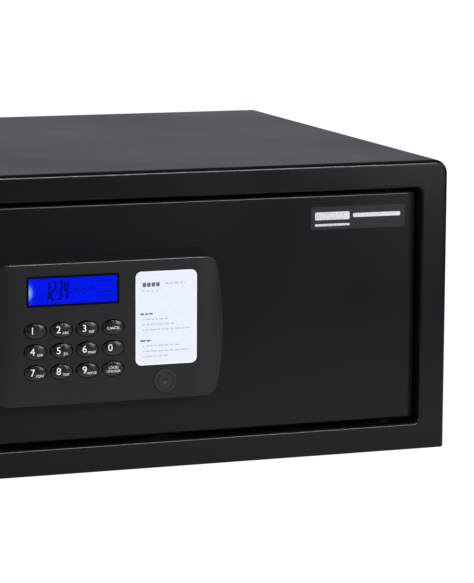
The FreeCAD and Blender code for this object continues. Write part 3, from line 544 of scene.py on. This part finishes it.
def seven_segment(bm, char, x, z):
    """One digit whose lower left corner is (x, z)."""

    def put(points):
        slab(bm, [(x + px + SLANT * pz, z + pz) for px, pz in points], GLASS_Y, INK_T)

    half = STROKE / 2
    for s in SEGMENTS[char]:
        if s in BARS:
            height, side = BARS[s]
            c = height - side * half
            tip, shoulder = STROKE * 0.3, STROKE * 0.8
            put([
                (tip, c), (shoulder, c + half), (SEGMENT_W - shoulder, c + half),
                (SEGMENT_W - tip, c), (SEGMENT_W - shoulder, c - half), (shoulder, c - half),
            ])
        else:
            px, pz = POSTS[s]
            c = px + (half if px == 0 else -half)
            gap, shoulder = STROKE * 0.25, STROKE * 0.6
            z0, z1 = pz + gap, pz + SEGMENT_H / 2 - gap
            put([
                (c, z0), (c + half, z0 + shoulder), (c + half, z1 - shoulder),
                (c, z1), (c - half, z1 - shoulder), (c - half, z0 + shoulder),
            ])


digits = bmesh.new()
for i, char in enumerate("1234"):
    seven_segment(digits, char, FIRST_DIGIT_X + i * DIGIT_PITCH, DIGITS_Z)
for i in range(3):
    dash = small_bar(DASH_X + DASH_PITCH * i, DASH_Z, 2.0 * MM, 0.8 * MM, 0.2 * MM)
    slab(digits, dash, GLASS_Y, INK_T)
add_mesh("lcd_digits", digits, LCD_INK, "door")

icons = bmesh.new()
for icon_z, starts in ICON_ROWS:
    for icon_x in starts:
        corner = (WINDOW_LOW.x + icon_x * MM, WINDOW_LOW.z + icon_z * MM)
        slab(icons, small_bar(*corner, 1.7 * MM, 1.2 * MM, 0.25 * MM), GLASS_Y, INK_T)
add_mesh("lcd_icons", icons, LCD_FAINT, "door")

bezel = bmesh.new()
ring_slab(
    bezel,
    around(WINDOW_LOW, WINDOW_HIGH, 1.2 * MM, 1.0 * MM),
    around(WINDOW_LOW, WINDOW_HIGH, -0.25 * MM, 0.2 * MM),
    HOUSING_FRONT - 0.12 * MM,
    0.35 * MM,
)
add_mesh("lcd_bezel", bezel, BEZEL, "door")

# ---------------------------------------------------------------- label print
PRINT_Y = LABEL_LOW.y - 0.03 * MM
PRINT_T = 0.04 * MM
LABEL_LEFT = LABEL_LOW.x + 3.2 * MM
LABEL_TOP = LABEL_HIGH.z
BLOCK_X = LABEL_LEFT + 1.6 * MM
BLOCK_PITCH = 3.1 * MM
BLOCK_W, BLOCK_H = 2.4 * MM, 2.8 * MM
LINE_H = 1.0 * MM
LINE_PITCH = 3.5 * MM
WORD_GAP = 0.8 * MM
NUMBER_INDENT = 1.8 * MM
LINE_INDENT = 4.0 * MM
# a heading's height from the label's top edge, and the lengths of the lines under it, in millimetres
PARAGRAPHS = ((-28.8, (15.0, 20.0, 30.0)), (-46.6, (23.0, 30.0, 15.0)))

rim = bmesh.new()
ring_slab(
    rim,
    around(LABEL_LOW, LABEL_HIGH, 0.0, 4.0 * MM),
    around(LABEL_LOW, LABEL_HIGH, -0.9 * MM, 3.2 * MM),
    PRINT_Y,
    PRINT_T,
)
add_mesh("label_rim", rim, RIM_INK, "door")


def text_bars(bm, x, z, total, height, rng):
    """A line of plain bars that stands in for a line of small print."""
    end = x + total
    while x < end - WORD_GAP:
        w = min(rng.uniform(1.6, 4.6) * MM, end - x)
        slab(bm, small_bar(x, z, w, height, height * 0.3), PRINT_Y, PRINT_T)
        x += w + WORD_GAP


rng = random.Random(7)
grey = bmesh.new()
dark = bmesh.new()
for i in range(4):
    x = BLOCK_X + BLOCK_PITCH * i
    slab(dark, small_bar(x, LABEL_TOP - 10.2 * MM, BLOCK_W, BLOCK_H, 0.5 * MM), PRINT_Y, PRINT_T)
    slab(grey, small_bar(x, LABEL_TOP - 13.4 * MM, BLOCK_W / 2, LINE_H, 0.4 * MM), PRINT_Y, PRINT_T)
text_bars(grey, LABEL_LEFT + 17.0 * MM, LABEL_TOP - 9.0 * MM, 14.0 * MM, 1.2 * MM, rng)
for heading, lengths in PARAGRAPHS:
    z = LABEL_TOP + heading * MM
    text_bars(dark, LABEL_LEFT, z, 8.5 * MM, 1.1 * MM, rng)
    for length in lengths:
        z -= LINE_PITCH
        text_bars(grey, LABEL_LEFT + NUMBER_INDENT, z, 1.1 * MM, LINE_H, rng)
        text_bars(grey, LABEL_LEFT + LINE_INDENT, z, length * MM, LINE_H, rng)
add_mesh("label_print_dark", dark, DARK_INK, "door")
add_mesh("label_print_grey", grey, GREY_INK, "door")

# ---------------------------------------------------------------- badge
BADGE_Y = BADGE_LOW.y - 0.12 * MM
BADGE_T = 0.14 * MM
# x0, x1, z0, z1 and corner radius of each bar from the badge's lower left corner, in millimetres
BADGE_BARS = (
    (3.0, 28.0, 6.6, 12.0, 0.8),
    (30.5, 65.0, 7.8, 10.6, 0.6),
    (3.0, 28.0, 2.4, 4.0, 0.5),
)
mark = bmesh.new()
for x0, x1, z0, z1, r in BADGE_BARS:
    bar = rounded(
        BADGE_LOW.x + x0 * MM, BADGE_LOW.x + x1 * MM, BADGE_LOW.z + z0 * MM, BADGE_LOW.z + z1 * MM, r * MM
    )
    slab(mark, bar, BADGE_Y, BADGE_T)
add_mesh("badge_mark", mark, SILVER, "door")

# ---------------------------------------------------------------- floor
FLOOR_HALF = 12.0
POOL_AT = (0.2, -0.3, 0.0)
POOL_RADII = (0.8, 0.55, 1.0)
POOL_GLOW = 0.72


def pale_floor(name):
    """A floor that looks plain white, and lights the object from a pool in front of it."""
    t = Tree(name)
    t.set(color=(0.120, 0.118, 0.142), rough=0.9, spec=0.0, glow_color=WHITE)
    near = t.span(t.ball(POOL_AT, POOL_RADII), "Fac", 0.0, 1.0, 0.0, POOL_GLOW)
    sight = t.nodes.new("ShaderNodeLightPath")
    mix = t.nodes.new("ShaderNodeMix")
    mix.inputs["B"].default_value = 1.0
    t.join(sight, "Is Camera Ray", mix, "Factor")
    t.join(near, "Result", mix, "A")
    t.join(mix, "Result", t.shader, "Emission Strength")
    return t.mat


floor_bm = bmesh.new()
floor_bm.faces.new([
    floor_bm.verts.new((x * FLOOR_HALF, y * FLOOR_HALF, 0.0))
    for x, y in ((-1, -1), (1, -1), (1, 1), (-1, 1))
])
floor_data = bpy.data.meshes.new("floor")
floor_bm.to_mesh(floor_data)
floor_bm.free()
floor_data.materials.append(pale_floor("pale_floor"))
floor = bpy.data.objects.new("floor", floor_data)
bpy.context.scene.collection.objects.link(floor)

# ---------------------------------------------------------------- light
AIM = (0.0, -0.18, 0.1)
FRONT_TINT = (0.985, 0.965, 1.0)
SIDE_TINT = (0.98, 0.96, 1.0)


def softbox(name, place, width, height, power, color):
    """A rectangular lamp aimed at the middle of the door."""
    data = bpy.data.lights.new(name, "AREA")
    data.shape = "RECTANGLE"
    data.size = width
    data.size_y = height
    data.energy = power
    data.color = color
    lamp = bpy.data.objects.new(name, data)
    lamp.location = place
    lamp.rotation_mode = "QUATERNION"
    lamp.rotation_quaternion = (Vector(AIM) - Vector(place)).to_track_quat("-Z", "Y")
    bpy.context.scene.collection.objects.link(lamp)


softbox("front_strip", (0.64, -2.1, 0.95), 1.0, 0.15, 36.0, FRONT_TINT)
softbox("front_left", (-1.9, -1.5, 0.95), 0.9, 0.9, 19.0, FRONT_TINT)
softbox("front_right", (0.80, -1.44, 0.25), 0.36, 0.26, 2.3, SIDE_TINT)
softbox("right_rim", (1.55, -0.25, 0.85), 0.4, 0.4, 4.0, SIDE_TINT)


def studio(name, front, front_at, back, back_at):
    """A world that goes from a dark front to a pale back along y."""
    world = bpy.data.worlds.new(name)
    world.use_nodes = True
    nodes = world.node_tree.nodes
    links = world.node_tree.links
    nodes.clear()
    out = nodes.new("ShaderNodeOutputWorld")
    background = nodes.new("ShaderNodeBackground")
    coord = nodes.new("ShaderNodeTexCoord")
    split = nodes.new("ShaderNodeSeparateXYZ")
    half = nodes.new("ShaderNodeMapRange")
    half.inputs["From Min"].default_value = -1.0
    half.inputs["From Max"].default_value = 1.0
    ramp = nodes.new("ShaderNodeValToRGB")
    ramp.color_ramp.elements[0].position = front_at
    ramp.color_ramp.elements[0].color = (*front, 1.0)
    ramp.color_ramp.elements[1].position = back_at
    ramp.color_ramp.elements[1].color = (*back, 1.0)
    links.new(coord.outputs["Generated"], split.inputs["Vector"])
    links.new(split.outputs["Y"], half.inputs["Value"])
    links.new(half.outputs["Result"], ramp.inputs["Fac"])
    links.new(ramp.outputs["Color"], background.inputs["Color"])
    links.new(background.outputs["Background"], out.inputs["Surface"])
    return world


scene = bpy.context.scene
scene.world = studio("studio", (0.008, 0.008, 0.009), 0.25, (0.254, 0.250, 0.292), 0.9)
scene.view_settings.view_transform = "Standard"

# ---------------------------------------------------------------- camera
CAMERA_AT = (-0.5548, -1.9262, 0.4158)
CAMERA_RIGHT = (0.94259, -0.33392, 0.0048)
CAMERA_UP = (0.04893, 0.15229, 0.98712)
LENS = 173.1
SENSOR = 36.0

cam_data = bpy.data.cameras.new("camera")
cam_data.lens = LENS
cam_data.sensor_width = SENSOR
cam = bpy.data.objects.new("camera", cam_data)
right = Vector(CAMERA_RIGHT).normalized()
back = right.cross(Vector(CAMERA_UP).normalized()).normalized()
up = back.cross(right)
turned = Matrix((right, up, back)).transposed().to_4x4()
cam.matrix_world = Matrix.Translation(CAMERA_AT) @ turned
scene.collection.objects.link(cam)
scene.camera = cam
